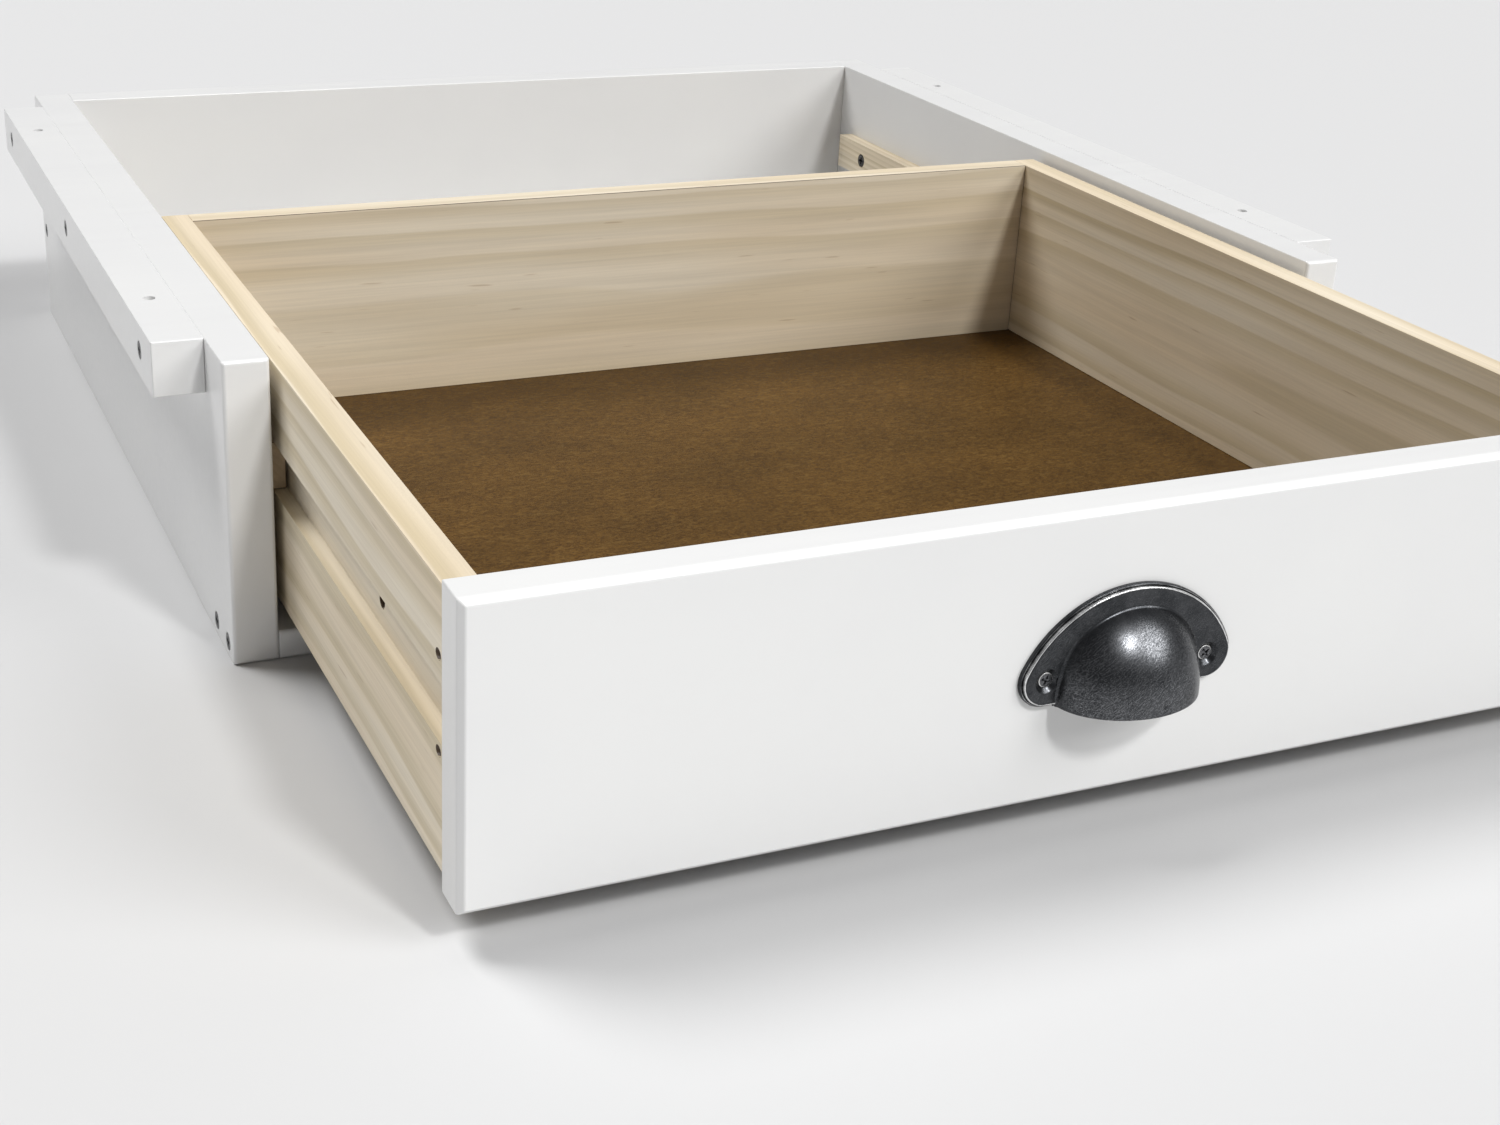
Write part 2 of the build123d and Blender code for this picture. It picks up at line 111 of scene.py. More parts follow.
# Pull screws
HEAD_RADIUS = 2.7 * MM
HEAD_BELOW_FACE = 1.3 * MM
HEAD_CROWN = 0.25 * MM
SHANK_RADIUS = 1.5 * MM
THREAD_DEPTH = 0.35 * MM
THREAD_PITCH = 1.3 * MM
RECESS_DEPTH = 1.1 * MM
RECESS_ARM = 1.75 * MM
RECESS_SLOT = 0.42 * MM
HEAD_CORNERS = 96  # fineness of the head and the shank
HEAD_STEPS = 30

# Stage
LAMP_DISTANCE = 3
FLOOR_HALF_WIDTH = 12
FLOOR_GAP = 0.1 * MM

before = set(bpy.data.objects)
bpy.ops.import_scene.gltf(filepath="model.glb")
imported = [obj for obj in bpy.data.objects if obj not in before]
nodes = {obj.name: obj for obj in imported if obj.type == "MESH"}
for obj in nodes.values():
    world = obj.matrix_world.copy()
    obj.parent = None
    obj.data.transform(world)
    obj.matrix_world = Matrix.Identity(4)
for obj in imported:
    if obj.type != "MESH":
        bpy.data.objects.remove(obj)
cad_low, cad_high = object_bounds()


# ---------------------------------------------------------------- node trees


class Graph:
    """One material's node tree, with short calls for the nodes that the materials here share."""

    def __init__(self, name):
        self.material = bpy.data.materials.new(name)
        self.material.use_nodes = True
        self.tree = self.material.node_tree
        self.shader = self.tree.nodes["Principled BSDF"]
        coordinates = self.add("ShaderNodeTexCoord")
        self.place = coordinates.outputs["Object"]
        self.normal = coordinates.outputs["Normal"]

    def add(self, kind, **settings):
        """A new node with its settings."""
        node = self.tree.nodes.new(kind)
        for name, value in settings.items():
            setattr(node, name, value)
        return node

    def feed(self, socket, value):
        """Links a socket to an input, or gives it a plain value."""
        if isinstance(value, bpy.types.NodeSocket):
            self.tree.links.new(value, socket)
        else:
            socket.default_value = value

    def math(self, operation, *values):
        """A Math node's result."""
        node = self.add("ShaderNodeMath", operation=operation)
        for socket, value in zip(node.inputs, values):
            self.feed(socket, value)
        return node.outputs[0]

    def vector(self, operation, *values):
        """A Vector Math node's result: its number for LENGTH and DOT_PRODUCT, else its vector."""
        node = self.add("ShaderNodeVectorMath", operation=operation)
        for socket, value in zip(node.inputs, values):
            self.feed(socket, value)
        return node.outputs["Value" if operation in ("LENGTH", "DOT_PRODUCT") else "Vector"]

    def split(self, vector):
        """A vector's X, Y and Z."""
        node = self.add("ShaderNodeSeparateXYZ")
        self.feed(node.inputs[0], vector)
        return node.outputs

    def turned(self, rotation, heart):
        """Object space, turned and then moved so that heart, a point in turned space, is the origin."""
        node = self.add("ShaderNodeMapping")
        self.feed(node.inputs["Vector"], self.place)
        node.inputs["Rotation"].default_value = rotation
        node.inputs["Location"].default_value = [-x for x in heart]
        return node.outputs[0]

    def noise(self, space, scale, detail=3.0, roughness=0.5, seed=0.0, distortion=0.0, colour=False):
        """Noise with one scale for each axis, in features per metre."""
        node = self.add("ShaderNodeTexNoise", noise_dimensions="4D")
        self.feed(node.inputs["Vector"], self.vector("MULTIPLY", space, scale))
        node.inputs["W"].default_value = seed
        node.inputs["Scale"].default_value = 1.0
        node.inputs["Detail"].default_value = detail
        node.inputs["Roughness"].default_value = roughness
        node.inputs["Distortion"].default_value = distortion
        return node.outputs[1 if colour else 0]

    def spread(self, value, low, high, to_low=0.0, to_high=1.0):
        """A smooth step of value from low..high to to_low..to_high."""
        node = self.add("ShaderNodeMapRange", interpolation_type="SMOOTHSTEP")
        for name, number in zip(("Value", "From Min", "From Max", "To Min", "To Max"),
                                (value, low, high, to_low, to_high)):
            self.feed(node.inputs[name], number)
        return node.outputs[0]

    def mix(self, factor, a, b, blend="MIX"):
        """Two colours mixed."""
        node = self.add("ShaderNodeMix", data_type="RGBA", blend_type=blend)
        self.feed(node.inputs[0], factor)
        for socket, colour in zip((node.inputs[6], node.inputs[7]), (a, b)):
            self.feed(socket, colour if isinstance(colour, bpy.types.NodeSocket) else (*colour, 1.0))
        return node.outputs[2]

    def grey(self, value):
        """A number as a colour, for multiplying."""
        node = self.add("ShaderNodeCombineColor")
        for socket in node.inputs:
            self.feed(socket, value)
        return node.outputs[0]

    def finish(self, colour, roughness, height, distance, strength=0.5):
        """Gives the shader its varying colour and roughness, and a bump of height times distance."""
        bump = self.add("ShaderNodeBump")
        bump.inputs["Strength"].default_value = strength
        bump.inputs["Distance"].default_value = distance
        self.feed(bump.inputs["Height"], height)
        self.feed(self.shader.inputs["Normal"], bump.outputs[0])
        self.feed(self.shader.inputs["Base Color"], colour)
        self.feed(self.shader.inputs["Roughness"], roughness)
        return self.material


# ---------------------------------------------------------------- woods

ALONG_X = (0, -pi / 2, 0)  # turns that bring the grain to Z
ALONG_Y = (pi / 2, 0, 0)
GRAIN = {ALONG_X: (1, 0, 0), ALONG_Y: (0, 1, 0)}


def end_grain(g, turn):
    """1 on faces that cut across the grain."""
    across = g.math("ABSOLUTE", g.vector("DOT_PRODUCT", g.normal, GRAIN[turn]))
    return g.spread(across, 0.6, 0.95)


def bore_shade(g):
    """1 on walls that no plane of a board has: those of bores, which are painted nearly black as painted
    shade.
    """
    x, y, z = g.split(g.normal)
    slanted = [g.math("ABSOLUTE", g.math("MULTIPLY", a, y)) for a in (x, z)]
    return g.spread(g.math("ADD", *slanted), 0.04, 0.2)


def pine(name, turn, heart, seed, ring=7.5 * MM):
    """Planed pine. Its rings lie round a heart line, so the faces' figure meets the rings on the ends."""
    g = Graph(name)
    space = g.turned(turn, heart)
    wander = g.vector("SUBTRACT", g.noise(space, (9, 9, 2.4), 2.0, 0.5, seed, colour=True), (0.5, 0.5, 0.5))
    bent = g.vector("ADD", space, g.vector("MULTIPLY", wander, (0.02, 0.02, 0)))
    radius = g.vector("LENGTH", g.vector("MULTIPLY", bent, (1, 1, 0)))
    count = g.math("DIVIDE", radius, ring)
    share = g.math("FRACT", count)
    each_ring = g.add("ShaderNodeTexWhiteNoise", noise_dimensions="1D")
    g.feed(each_ring.inputs["W"], g.math("ADD", g.math("FLOOR", count), seed))
    late = g.math("MULTIPLY", g.spread(share, 0.25, 0.82), g.spread(share, 0.9, 1.0, 1.0, 0.0))
    late = g.math("MULTIPLY", late, g.spread(each_ring.outputs[0], 0.0, 1.0, 0.35, 1.0))
    fibre = g.noise(space, (900, 900, 14), 3.0, 0.6, seed)
    streak = g.noise(space, (210, 210, 5), 3.0, 0.55, seed + 3)
    cloud = g.noise(space, (22, 22, 3), 2.0, 0.5, seed + 7)
    canal = g.spread(g.noise(space, (520, 520, 40), 1.0, 0.4, seed + 11), 0.71, 0.78)
    ends = end_grain(g, turn)
    colour = g.mix(g.spread(cloud, 0.38, 0.62), (0.83, 0.745, 0.595), (0.76, 0.645, 0.475))
    colour = g.mix(g.math("MULTIPLY", late, 0.75), colour, (0.565, 0.465, 0.285))
    colour = g.mix(1.0, colour, g.grey(g.spread(streak, 0.35, 0.7, 1.02, 0.93)), "MULTIPLY")
    colour = g.mix(1.0, colour, g.grey(g.spread(fibre, 0.3, 0.75, 1.02, 0.93)), "MULTIPLY")
    colour = g.mix(g.math("MULTIPLY", canal, 0.35), colour, (0.34, 0.21, 0.1))
    colour = g.mix(g.math("MULTIPLY", ends, 0.5), colour, (0.46, 0.31, 0.17))
    # painted shade: the walls of bores are darkened nearly to black
    colour = g.mix(g.math("MULTIPLY", bore_shade(g), 0.95), colour, (0.06, 0.03, 0.012))
    rough = g.math("ADD", g.spread(fibre, 0.3, 0.7, 0.44, 0.6), g.math("MULTIPLY", ends, 0.2))
    height = g.math("SUBTRACT", g.math("MULTIPLY", fibre, 0.8), g.math("MULTIPLY", late, 0.5))
    return g.finish(colour, rough, height, 0.12 * MM)


def beech(name, turn, seed):
    """Beech: fine straight grain with the short dark flecks of its rays."""
    g = Graph(name)
    space = g.turned(turn, (0, 0, 0))
    grain = g.noise(space, (380, 380, 6), 4.0, 0.6, seed)
    fleck = g.spread(g.noise(space, (1300, 1300, 260), 1.0, 0.4, seed + 5), 0.63, 0.72)
    cloud = g.noise(space, (30, 30, 4), 2.0, 0.5, seed + 9)
    ends = end_grain(g, turn)
    colour = g.mix(g.spread(cloud, 0.3, 0.7), (0.64, 0.44, 0.28), (0.58, 0.38, 0.23))
    colour = g.mix(1.0, colour, g.grey(g.spread(grain, 0.3, 0.75, 1.05, 0.86)), "MULTIPLY")
    colour = g.mix(g.math("MULTIPLY", fleck, 0.55), colour, (0.27, 0.14, 0.07))
    colour = g.mix(g.math("MULTIPLY", ends, 0.5), colour, (0.36, 0.22, 0.12))
    return g.finish(colour, g.spread(grain, 0.3, 0.7, 0.4, 0.55), grain, 0.06 * MM)


def hardboard():
    """Brown hardboard: pressed fibres, mottled fine and coarse, with dark specks and a slight polish."""
    g = Graph("hardboard_brown")
    fibre = g.noise(g.place, (330, 620, 620), 8.0, 0.72, 1.0, 1.6)
    wisp = g.noise(g.place, (110, 300, 300), 5.0, 0.65, 4.0, 2.2)
    cloud = g.noise(g.place, (16, 22, 22), 3.0, 0.55, 8.0)
    speck = g.spread(g.noise(g.place, (620, 900, 900), 2.0, 0.5, 12.0), 0.7, 0.76)
    g.shader.inputs["Specular IOR Level"].default_value = 0.16
    colour = g.mix(g.spread(fibre, 0.4, 0.6), (0.056, 0.026, 0.005), (0.112, 0.058, 0.013))
    colour = g.mix(g.math("MULTIPLY", g.spread(wisp, 0.5, 0.64), 0.6), colour, (0.142, 0.08, 0.021))
    colour = g.mix(1.0, colour, g.grey(g.spread(cloud, 0.35, 0.65, 0.88, 1.1)), "MULTIPLY")
    colour = g.mix(g.math("MULTIPLY", speck, 0.6), colour, (0.035, 0.018, 0.006))
    height = g.math("ADD", fibre, g.math("MULTIPLY", wisp, 0.6))
    return g.finish(colour, g.spread(fibre, 0.3, 0.7, 0.42, 0.6), height, 0.08 * MM)


# ---------------------------------------------------------------- paint and metals


def white_paint():
    """Satin white paint, rolled on: a fine stipple, faint long strokes, and a slightly uneven gloss."""
    g = Graph("white_satin_paint")
    stipple = g.noise(g.place, (900, 900, 900), 2.0, 0.5, 2.0)
    stroke = g.noise(g.place, (7, 260, 260), 3.0, 0.6, 5.0)
    cloud = g.noise(g.place, (12, 12, 12), 2.0, 0.5, 9.0)
    g.shader.inputs["Coat Weight"].default_value = 0.25
    g.shader.inputs["Coat Roughness"].default_value = 0.12
    colour = g.mix(g.spread(cloud, 0.3, 0.7), (0.81, 0.81, 0.80), (0.79, 0.79, 0.785))
    height = g.math("ADD", g.math("MULTIPLY", stipple, 0.6), g.math("MULTIPLY", stroke, 0.7))
    return g.finish(colour, g.spread(stroke, 0.3, 0.7, 0.3, 0.4), height, 0.03 * MM, 0.35)


def worn_mask(g, wobble):
    """1 on the crests that hands polish, broken up by a noise. The pieces carry it as the attribute wear."""
    wear = g.add("ShaderNodeAttribute", attribute_name="wear").outputs["Fac"]
    return g.spread(g.math("ADD", wear, g.math("MULTIPLY", g.math("SUBTRACT", wobble, 0.5), 0.7)), 0.4, 0.9)


def pull_metal():
    """Antique dark casting: bluish black, brushed, speckled most on the dome, bright where it is worn."""
    g = Graph("dark_antique_metal")
    slanting = g.turned((0, radians(38), 0), (0, 0, 0))
    brushed = g.noise(slanting, (500, 1500, 3600), 5.0, 0.7, 1.0, 0.4)
    speckle = g.noise(g.place, (2400, 2400, 2400), 4.0, 0.65, 3.0)
    cloud = g.noise(g.place, (130, 130, 130), 4.0, 0.6, 6.0)
    wobble = g.noise(g.place, (240, 240, 240), 4.0, 0.6, 9.0)
    g.shader.inputs["Metallic"].default_value = 0.9
    g.shader.inputs["Specular IOR Level"].default_value = 0.5
    colour = g.mix(g.spread(cloud, 0.35, 0.68), (0.028, 0.03, 0.033), (0.055, 0.057, 0.061))
    grit = g.math("ADD", g.math("MULTIPLY", speckle, 0.45), g.math("MULTIPLY", brushed, 0.55))
    face = pull_high.y - PULL_FACE
    rubbed = g.spread(g.split(g.place)["Y"], face - 7 * MM, face - 0.5 * MM, 1.0, 0.22)
    colour = g.mix(g.math("MULTIPLY", g.spread(grit, 0.42, 0.68), rubbed), colour, (0.235, 0.24, 0.252))
    worn = worn_mask(g, wobble)
    colour = g.mix(worn, colour, (0.9, 0.9, 0.9))
    rough = g.math("SUBTRACT", g.spread(grit, 0.4, 0.65, 0.33, 0.22), g.math("MULTIPLY", worn, 0.06))
    return g.finish(colour, rough, grit, 0.035 * MM, 0.4)


def darkened_steel():
    """The pull's screws: darkened steel, rubbed bright on the head's rim."""
    g = Graph("darkened_steel")
    scuff = g.noise(g.place, (1500, 1500, 1500), 4.0, 0.65, 2.0)
    g.shader.inputs["Metallic"].default_value = 1.0
    worn = worn_mask(g, scuff)
    colour = g.mix(g.spread(scuff, 0.4, 0.65), (0.09, 0.092, 0.098), (0.2, 0.2, 0.21))
    colour = g.mix(worn, colour, (0.72, 0.72, 0.71))
    return g.finish(colour, g.spread(scuff, 0.35, 0.65, 0.36, 0.24), scuff, 0.02 * MM)


def black_steel():
    """The wood screws and nails: black phosphated steel with a fine grain and a few paler patches."""
    g = Graph("black_steel")
    grain = g.noise(g.place, (2200, 2200, 2200), 3.0, 0.6, 4.0)
    patch = g.noise(g.place, (320, 320, 320), 3.0, 0.55, 7.0)
    g.shader.inputs["Metallic"].default_value = 1.0
    colour = g.mix(g.spread(patch, 0.35, 0.65), (0.07, 0.07, 0.072), (0.13, 0.13, 0.132))
    rough = g.spread(g.math("ADD", g.math("MULTIPLY", patch, 0.6), g.math("MULTIPLY", grain, 0.4)),
                     0.35, 0.65, 0.26, 0.44)
    return g.finish(colour, rough, grain, 0.015 * MM)


# ---------------------------------------------------------------- CAD nodes

WELD = 0.002 * MM
ARRIS_ANGLE = radians(30)
LONG_ARRIS = 2 * MM


def give(node, material):
    """A CAD node's new material, in all its slots."""
    for slot in nodes[node].material_slots:
        slot.material = material


def arris_ends(mesh):
    """Where a board's long straight arrises end, as rounded places."""
    made = bmesh.new()
    made.from_mesh(mesh)
    bmesh.ops.remove_doubles(made, verts=made.verts, dist=WELD)
    bmesh.ops.dissolve_limit(made, angle_limit=radians(1), verts=made.verts, edges=made.edges)
    ends = set()
    for edge in made.edges:
        folded = len(edge.link_faces) == 2 and edge.calc_face_angle() > ARRIS_ANGLE
        if folded and edge.calc_length() > LONG_ARRIS:
            ends |= {rounded(vertex.co) for vertex in edge.verts}
    made.free()
    return ends


def rounded(place):
    """A place to the nearest hundredth of a millimetre, for comparing."""
    return tuple(round(x / (0.01 * MM)) for x in place)


def soften(node, width, segments=2):
    """Rounds a board's long arrises. The shape and the size stay, and so do the edges of its holes."""
    piece = nodes[node]
    ends = arris_ends(piece.data)
    arrises = piece.vertex_groups.new(name="arris")
    arrises.add([v.index for v in piece.data.vertices if rounded(v.co) in ends], 1.0, "REPLACE")
    weld = piece.modifiers.new("weld", "WELD")
    weld.merge_threshold = WELD
    flat = piece.modifiers.new("flat", "DECIMATE")
    flat.decimate_type = "DISSOLVE"
    flat.angle_limit = radians(1)
    bevel = piece.modifiers.new("arris", "BEVEL")
    bevel.width = width
    bevel.segments = segments
    bevel.limit_method = "VGROUP"
    bevel.vertex_group = "arris"
    bevel.use_clamp_overlap = False
    crisp = piece.modifiers.new("crisp", "EDGE_SPLIT")
    crisp.split_angle = ARRIS_ANGLE + radians(5)
    piece.modifiers.new("normals", "WEIGHTED_NORMAL")


def dress_boards():
    """Materials and arrises of the wooden and painted pieces. Each pine board has its own heart."""
    paint = white_paint()
    give("drawer_front", paint)
    soften("drawer_front", 0.55 * MM, 3)
    frame_pieces = ["front_rail", "back_rail"]
    frame_pieces += [f"{kind}_{name}" for kind in ("side_rail", "desk_cleat") for name in ("left", "right")]
    for node in frame_pieces:
        give(node, paint)
        soften(node, 0.6 * MM, 3)

    for name, side, seed in (("left", -1, 2.0), ("right", 1, 31.0)):
        low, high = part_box(f"drawer_side_{name}")
        outer = low.x if side < 0 else high.x
        heart = (outer - side * 42 * MM, -(low.z + 0.46 * (high.z - low.z)), 0)
        give(f"drawer_side_{name}", pine(f"pine_side_{name}", ALONG_Y, heart, seed))
        soften(f"drawer_side_{name}", 0.35 * MM)

        low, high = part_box(f"runner_{name}")
        heart = (low.x - 25 * MM, -low.z + 14 * MM, 0)
        give(f"runner_{name}", pine(f"pine_runner_{name}", ALONG_Y, heart, seed + 5, 2.4 * MM))
        soften(f"runner_{name}", 0.5 * MM)

    low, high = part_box("drawer_back")
    heart = (-low.z - 30 * MM, high.y + 46 * MM, 0)
    give("drawer_back", pine("pine_back", ALONG_X, heart, 13.0))
    soften("drawer_back", 0.35 * MM)

    give("drawer_bottom", hardboard())
    soften("drawer_bottom", 0.15 * MM)


def dress_fixings():
    """Materials of the dowels, nails and screws."""
    dowel_along_x = beech("beech_dowel_x", ALONG_X, 40.0)
    dowel_along_y = beech("beech_dowel_y", ALONG_Y, 44.0)
    steel = black_steel()
    give("bottom_nails", steel)
    for name in ("left", "right"):
        give(f"front_dowels_{name}", dowel_along_y)
        give(f"rail_dowels_{name}", dowel_along_x)
        for group in ("front", "back", "runner", "rail", "cleat"):
            give(f"{group}_screws_{name}", steel)


# ---------------------------------------------------------------- cup pull

pull_low, pull_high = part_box("cup_pull")
screw_low, screw_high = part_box("pull_screw_right")
half_spacing = (screw_low.x + screw_high.x) / 2
screw_level = (screw_low.z + screw_high.z) / 2
lobe_radius = screw_level - pull_low.z
flange_top = pull_high.z - screw_level
projection = pull_high.y - pull_low.y

above_lobe = flange_top - lobe_radius
arch_centre = (above_lobe**2 - half_spacing**2) / (2 * above_lobe)
arch_radius = flange_top - arch_centre
touch_angle = atan2(-arch_centre, half_spacing)
dome_turn = (DOME_RISE**2 / projection - projection) / 2  # the dome turns about a line this far behind


def on_pull(across, up, out):
    """A point from its place across and above the screws' line, and its height above the drawer front."""
    return Vector((across, pull_high.y - out, screw_level + up))


def arc(centre, radius, start, end, count):
    """Points on an arc, both ends included."""
    angles = [start + (end - start) * i / (count - 1) for i in range(count)]
    return [(centre[0] + radius * cos(a), centre[1] + radius * sin(a)) for a in angles]


def flange_outline(inset):
    """The flange's outline, moved in: its arch, the right lobe, the bottom and the left lobe."""
    lobe = lobe_radius - inset
    points = arc((0, arch_centre), arch_radius - inset, pi - touch_angle, touch_angle, ARCH_POINTS)
    points += arc((half_spacing, 0), lobe, touch_angle, -pi / 2, LOBE_POINTS)[1:]
    for i in range(1, BOTTOM_STEPS):
        share = i / BOTTOM_STEPS
        points.append((half_spacing * (1 - 2 * share), -lobe))
    points += arc((-half_spacing, 0), lobe, 3 * pi / 2, pi - touch_angle, LOBE_POINTS)[:-1]
    return points


def mesh_object(name, made):
    """A new object from a bmesh, with its normals outward."""
    bmesh.ops.remove_doubles(made, verts=made.verts, dist=0.001 * MM)
    bmesh.ops.recalc_face_normals(made, faces=made.faces)
    mesh = bpy.data.meshes.new(name)
    made.to_mesh(mesh)
    made.free()
    piece = bpy.data.objects.new(name, mesh)
    bpy.context.scene.collection.objects.link(piece)
    return piece


def bridge(made, loops, closed):
    """Quads between loops that follow each other."""
    for lower, upper in zip(loops, loops[1:]):
        for i in range(len(lower) if closed else len(lower) - 1):
            j = (i + 1) % len(lower)
            made.faces.new((lower[i], lower[j], upper[j], upper[i]))


def capped_loft(name, rings):
    """A closed solid through rings of points."""
    made = bmesh.new()
    loops = [[made.verts.new(point) for point in ring] for ring in rings]
    bridge(made, loops, True)
    made.faces.new(loops[0])
    made.faces.new(loops[-1])
    return mesh_object(name, made)


def flange_solid():
    """The flange: a plain wall, a bead, a groove and a raised rim round its face."""
    rings = [[on_pull(u, v, height) for u, v in flange_outline(inset)] for inset, height in RIM_PROFILE]
    return capped_loft("cup_pull", rings)


def dome_plan(inset, back):
    """The dome's plan, left to right, as places across and out, moved in by inset and cut at back."""
    half_width = DOME_HALF_WIDTH - inset
    out = projection - inset
    handles = ((half_width, 0), (half_width, DOME_CORNER * out), (DOME_SHOULDER * half_width, out), (0, out))
    right = [(half_width, back)]
    for i in range(PLAN_STEPS + 1):
        t = i / PLAN_STEPS
        weights = ((1 - t) ** 3, 3 * t * (1 - t) ** 2, 3 * t * t * (1 - t), t**3)
        across, ahead = (sum(w * h[axis] for w, h in zip(weights, handles)) for axis in (0, 1))
        right.append((across, max(ahead, back)))
    return [(-across, ahead) for across, ahead in right] + right[-2::-1]


def on_dome(plan_point, angle):
    """A point of the dome as (across, above the lip, out), turned back from its plan by an angle."""
    across, ahead = plan_point
    arm = ahead + dome_turn
    return [across, arm * sin(angle), arm * cos(angle) - dome_turn]


def angle_at_rise(plan_point, rise):
    """The angle at which a plan point is at a rise above the lip."""
    return asin(min(1.0, rise / (plan_point[1] + dome_turn)))


def angle_at_height(plan_point, height):
    """The angle at which a plan point comes back to a height above the drawer front."""
    return acos(min(1.0, (height + dome_turn) / (plan_point[1] + dome_turn)))


def dome_rows(mouth, back, foot):
    """Rows of points from the dome's lip, up and back to the height back.

    mouth holds (rise above the lip, inset) near the lip, and its last inset is that of the whole dome.
    foot is the radius of the fillet that meets the flange's face, or 0 for none.
    """
    foot_steps = FILLET_STEPS if foot else 0
    heights = [PULL_FACE + foot * (1 - sin(pi / 2 * i / foot_steps)) for i in range(foot_steps)]
    heights += [PULL_FACE] * bool(foot) + [back]
    rows = []
    for rise, inset in mouth:
        plan = dome_plan(inset, back)
        ends = [angle_at_height(p, heights[0]) for p in plan]
        starts = [min(angle_at_rise(p, rise), end) for p, end in zip(plan, ends)]
        rows.append([on_dome(p, start) for p, start in zip(plan, starts)])
    for i in range(1, DOME_STEPS):
        share = i / DOME_STEPS
        rows.append([on_dome(p, a + share * (b - a)) for p, a, b in zip(plan, starts, ends)])
    rows += [[on_dome(p, angle_at_height(p, height)) for p in plan] for height in heights]
    return rows


def fillet(height, radius):
    """How far a round of a radius stands out at a height above its foot."""
    if height >= radius:
        return 0.0
    return radius - sqrt(radius**2 - (radius - max(height, 0.0)) ** 2)


def flared(rows, foot):
    """The rows with the fillet at the dome's foot: they stand outward where they near the flange's face."""
    made = []
    for row in rows:
        new_row = []
        for i, (across, up, out) in enumerate(row):
            before = row[max(i - 1, 0)]
            after = row[min(i + 1, len(row) - 1)]
            along = Vector((after[0] - before[0], after[1] - before[1]))
            amount = fillet(out - PULL_FACE, foot)
            if along.length > 0 and amount > 0:
                along.normalize()
                across -= amount * along.y
                up += amount * along.x * min(1.0, up / foot)
            new_row.append((across, up, out))
        made.append(new_row)
    return made


def dome_solid(name, rows, drop):
    """A closed solid from rows of dome points, going down drop below the lip."""
    if drop:
        rows = [[(across, -drop, out) for across, up, out in rows[0]]] + rows
    made = bmesh.new()
    loops = [[made.verts.new(on_pull(u, v - lobe_radius, w)) for u, v, w in row] for row in rows]
    bridge(made, loops, False)
    made.faces.new(loops[0])
    left, right = ([loop[end] for loop in loops[:-1]] for end in (0, -1))
    made.faces.new([*left, *loops[-1], *right[::-1]])
    return mesh_object(name, made)


def sink_solid(side):
    """The cutter for one screw's countersink, with a soft arris, and its hole."""
    profile = (
        (SINK_RADIUS + 1.5 * MM, PULL_FACE + 0.6 * MM),
        (SINK_RADIUS + 0.3 * MM, PULL_FACE),
        (SINK_RADIUS + 0.08 * MM, PULL_FACE - 0.1 * MM),
        (SINK_RADIUS - 0.3 * MM, PULL_FACE - 0.38 * MM),
        (SINK_FOOT, PULL_FACE - (SINK_RADIUS - SINK_FOOT)),
        (SINK_FOOT, -1 * MM),
    )
    rings = [
        [on_pull(u, v, height) for u, v in arc((side * half_spacing, 0), radius, 0, 2 * pi, SINK_POINTS)[:-1]]
        for radius, height in profile
    ]
    return capped_loft("sink", rings)


def settle(piece):
    """Applies a piece's modifiers."""
    shown = piece.evaluated_get(bpy.context.evaluated_depsgraph_get())
    mesh = bpy.data.meshes.new_from_object(shown)
    piece.modifiers.clear()
    piece.data = mesh


def combine(piece, other, operation):
    """Joins another solid to a piece, or cuts it out, and welds the slivers that this leaves."""
    modifier = piece.modifiers.new("combine", "BOOLEAN")
    modifier.operation = operation
    modifier.solver = "EXACT"
    modifier.object = other
    settle(piece)
    bpy.data.objects.remove(other)
    made = bmesh.new()
    made.from_mesh(piece.data)
    bmesh.ops.remove_doubles(made, verts=made.verts, dist=SLIVER)
    bmesh.ops.dissolve_degenerate(made, dist=SLIVER, edges=made.edges)
    made.to_mesh(piece.data)
    made.free()


def shade(piece, angle):
    """Smooth shading, with sharp edges past an angle, that leaves flat faces flat."""
    piece.data.shade_smooth()
    piece.data.set_sharp_from_angle(angle=angle)
    normals = piece.modifiers.new("normals", "WEIGHTED_NORMAL")
    normals.keep_sharp = True
    settle(piece)


def edge_inset(across, up):
    """How far a point of the flange lies in from its outline."""
    across = abs(across)
    if atan2(up - arch_centre, across) > touch_angle:
        return arch_radius - sqrt(across**2 + (up - arch_centre) ** 2)
    if across > half_spacing:
        return lobe_radius - sqrt((across - half_spacing) ** 2 + up**2)
    return up + lobe_radius


def peak(value, crest, reach):
    """1 where value is at a crest, down to 0 at a reach from it."""
    return max(0.0, 1 - abs(value - crest) / reach)


def mark_wear(piece, wear_at):
    """Writes the attribute wear, from 0 to 1, for each vertex."""
    values = [wear_at(vertex.co) for vertex in piece.data.vertices]
    attribute = piece.data.attributes.new("wear", "FLOAT", "POINT")
    attribute.data.foreach_set("value", values)


def pull_wear(place):
    """The pull is polished on its rim, on its bead, in its countersinks and a little on the dome's lip."""
    out = pull_high.y - place.y
    up = place.z - screw_level
    if sqrt((abs(place.x) - half_spacing) ** 2 + up**2) < SINK_RADIUS:
        return 0.3
    inset = edge_inset(place.x, up)
    if inset < 2.2 * MM and BEAD_CREST - 0.3 * MM < out < RIM_CREST + 0.1 * MM:
        return max(peak(inset, 1.25 * MM, 0.6 * MM), 0.7 * peak(inset, 0.45 * MM, 0.4 * MM))
    if out > PULL_FACE + 1 * MM and up + lobe_radius < 0.3 * MM:
        return 0.25
    return 0.0


